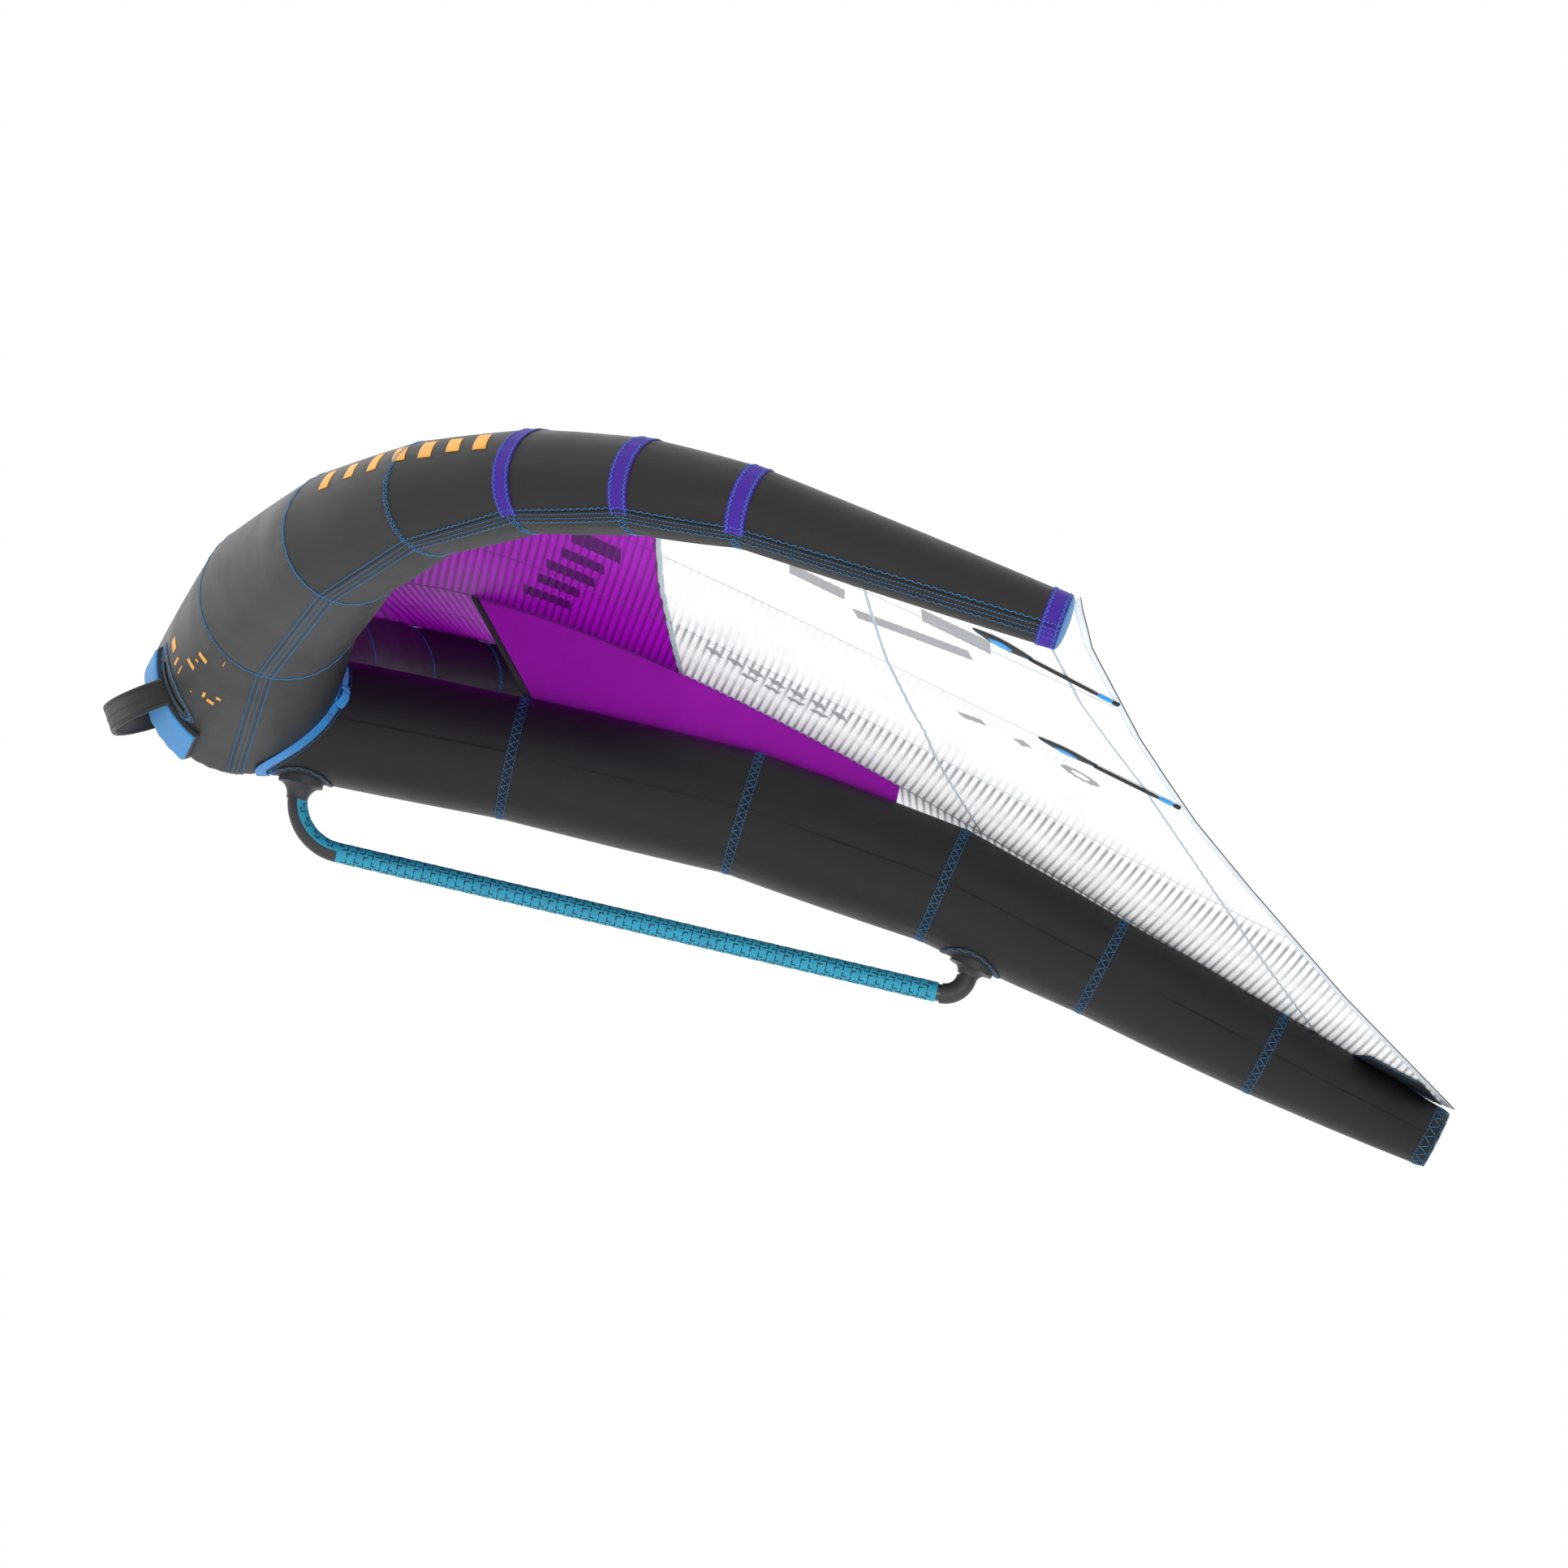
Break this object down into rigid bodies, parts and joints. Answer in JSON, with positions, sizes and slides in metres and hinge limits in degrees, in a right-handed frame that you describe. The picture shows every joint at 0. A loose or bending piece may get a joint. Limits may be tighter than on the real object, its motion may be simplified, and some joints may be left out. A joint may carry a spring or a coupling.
{
  "type": "inflatable hand wing",
  "caption": "Inflatable hand-held wing: curved leading edge tube and centre strut, ridged canopy with battens, and a rigid grip boom.",
  "frame": {"origin": "on the boom's axis, at the middle of its straight grip", "axes": "+X aft along the boom, +Y starboard along the span, +Z from the boom up to the strut and canopy"},
  "size_m": [2.0379, 2.8846, 0.5951],
  "materials": {
    "batten_head_port_1": "matte",
    "batten_head_port_2": "matte",
    "batten_head_starboard_1": "matte",
    "batten_head_starboard_2": "matte",
    "batten_rod_port_1": "satin",
    "batten_rod_port_2": "satin",
    "batten_rod_starboard_1": "satin",
    "batten_rod_starboard_2": "satin",
    "boom_cuff_front": "satin",
    "boom_cuff_rear": "satin",
    "boom_grip": "matte",
    "boom_tube": "satin",
    "canopy_front_port": "satin",
    "canopy_front_starboard": "satin",
    "canopy_rear_port": "satin",
    "canopy_rear_starboard": "satin",
    "handle_anchors": "matte",
    "handle_loop": "matte",
    "junction_strap": "matte",
    "le_bladder": "satin",
    "le_casing_port_1": "matte",
    "le_casing_port_2": "matte",
    "le_casing_port_3": "matte",
    "le_casing_port_4": "matte",
    "le_casing_port_5": "matte",
    "le_casing_port_6": "matte",
    "le_casing_port_7": "matte",
    "le_casing_starboard_1": "matte",
    "le_casing_starboard_2": "matte",
    "le_casing_starboard_3": "matte",
    "le_casing_starboard_4": "matte",
    "le_casing_starboard_5": "matte",
    "le_casing_starboard_6": "matte",
    "le_casing_starboard_7": "matte",
    "mount_patch_front": "matte",
    "mount_patch_rear": "matte",
    "nose_pad": "matte",
    "seam_bands_port": "matte",
    "seam_bands_starboard": "matte",
    "strap_buckle": "matte",
    "strut_bladder": "satin",
    "strut_casing_1": "matte",
    "strut_casing_2": "matte",
    "strut_casing_3": "matte",
    "strut_casing_4": "matte",
    "strut_casing_5": "matte",
    "strut_casing_6": "matte",
    "strut_end_cap": "matte",
    "strut_web": "satin",
    "tail_gusset_port": "matte",
    "tail_gusset_starboard": "matte",
    "tip_cap_port": "matte",
    "tip_cap_starboard": "matte",
    "trailing_edge_hem_port": "satin",
    "trailing_edge_hem_starboard": "satin",
    "valve_base": "satin",
    "valve_cap": "satin",
    "web_binding": "matte"
  },
  "bodies": {
    "boom": {"boom_cuff_front": "boom_cuff_front", "boom_cuff_rear": "boom_cuff_rear", "boom_grip": "boom_grip", "boom_tube": "boom_tube"},
    "wing": {"batten_head_port_1": "batten_head_port_1", "batten_head_port_2": "batten_head_port_2", "batten_head_starboard_1": "batten_head_starboard_1", "batten_head_starboard_2": "batten_head_starboard_2", "batten_rod_port_1": "batten_rod_port_1", "batten_rod_port_2": "batten_rod_port_2", "batten_rod_starboard_1": "batten_rod_starboard_1", "batten_rod_starboard_2": "batten_rod_starboard_2", "canopy_front_port": "canopy_front_port", "canopy_front_starboard": "canopy_front_starboard", "canopy_rear_port": "canopy_rear_port", "canopy_rear_starboard": "canopy_rear_starboard", "handle_anchors": "handle_anchors", "junction_strap": "junction_strap", "le_bladder": "le_bladder", "le_casing_port_1": "le_casing_port_1", "le_casing_port_2": "le_casing_port_2", "le_casing_port_3": "le_casing_port_3", "le_casing_port_4": "le_casing_port_4", "le_casing_port_5": "le_casing_port_5", "le_casing_port_6": "le_casing_port_6", "le_casing_port_7": "le_casing_port_7", "le_casing_starboard_1": "le_casing_starboard_1", "le_casing_starboard_2": "le_casing_starboard_2", "le_casing_starboard_3": "le_casing_starboard_3", "le_casing_starboard_4": "le_casing_starboard_4", "le_casing_starboard_5": "le_casing_starboard_5", "le_casing_starboard_6": "le_casing_starboard_6", "le_casing_starboard_7": "le_casing_starboard_7", "mount_patch_front": "mount_patch_front", "mount_patch_rear": "mount_patch_rear", "nose_pad": "nose_pad", "seam_bands_port": "seam_bands_port", "seam_bands_starboard": "seam_bands_starboard", "strap_buckle": "strap_buckle", "strut_bladder": "strut_bladder", "strut_casing_1": "strut_casing_1", "strut_casing_2": "strut_casing_2", "strut_casing_3": "strut_casing_3", "strut_casing_4": "strut_casing_4", "strut_casing_5": "strut_casing_5", "strut_casing_6": "strut_casing_6", "strut_end_cap": "strut_end_cap", "strut_web": "strut_web", "tail_gusset_port": "tail_gusset_port", "tail_gusset_starboard": "tail_gusset_starboard", "tip_cap_port": "tip_cap_port", "tip_cap_starboard": "tip_cap_starboard", "trailing_edge_hem_port": "trailing_edge_hem_port", "trailing_edge_hem_starboard": "trailing_edge_hem_starboard", "valve_base": "valve_base", "web_binding": "web_binding"},
    "handle": {"handle_loop": "handle_loop"},
    "valve_cap": {"valve_cap": "valve_cap"}
  },
  "joints": [
    {"name": "boom_release", "type": "slide", "parent": "boom", "child": "wing", "axis": [0, 0, 1], "range_m": [0, 0.12]},
    {"name": "handle_flex", "type": "hinge", "parent": "wing", "child": "handle", "pos_m": [-0.7417, 0, 0.1581], "axis": [0, 1, 0], "range_deg": [-25, 25], "stiffness_Nm_per_rad": 0.6},
    {"name": "valve_cap_hinge", "type": "hinge", "parent": "wing", "child": "valve_cap", "pos_m": [-0.52481, 0.20504, 0.15257], "axis": [0.7593, -0.2435, 0.6035], "range_deg": [0, 110]}
  ]
}
